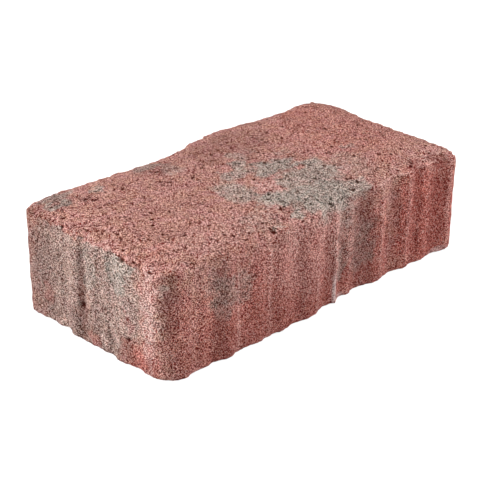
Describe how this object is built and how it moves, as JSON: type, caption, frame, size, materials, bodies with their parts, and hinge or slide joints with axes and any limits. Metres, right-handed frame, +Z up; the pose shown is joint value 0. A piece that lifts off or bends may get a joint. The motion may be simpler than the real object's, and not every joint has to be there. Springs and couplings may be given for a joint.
{
  "type": "concrete paving stone",
  "caption": "Oblong pressed concrete paving stone with wavy long sides that lock into its neighbours, upright ribs on its sides and a low pillow on top.",
  "frame": {"origin": "middle of the bounding box at the level of the bed face", "axes": "+X along the stone, +Y across it, towards the long side that bulges out, +Z up through the pillowed top"},
  "size_m": [0.2832, 0.1496, 0.08],
  "materials": {
    "concrete": "rough through-coloured concrete, red clouded with grey"
  },
  "bodies": {
    "root": {"paving_stone": "concrete"}
  },
  "joints": []
}
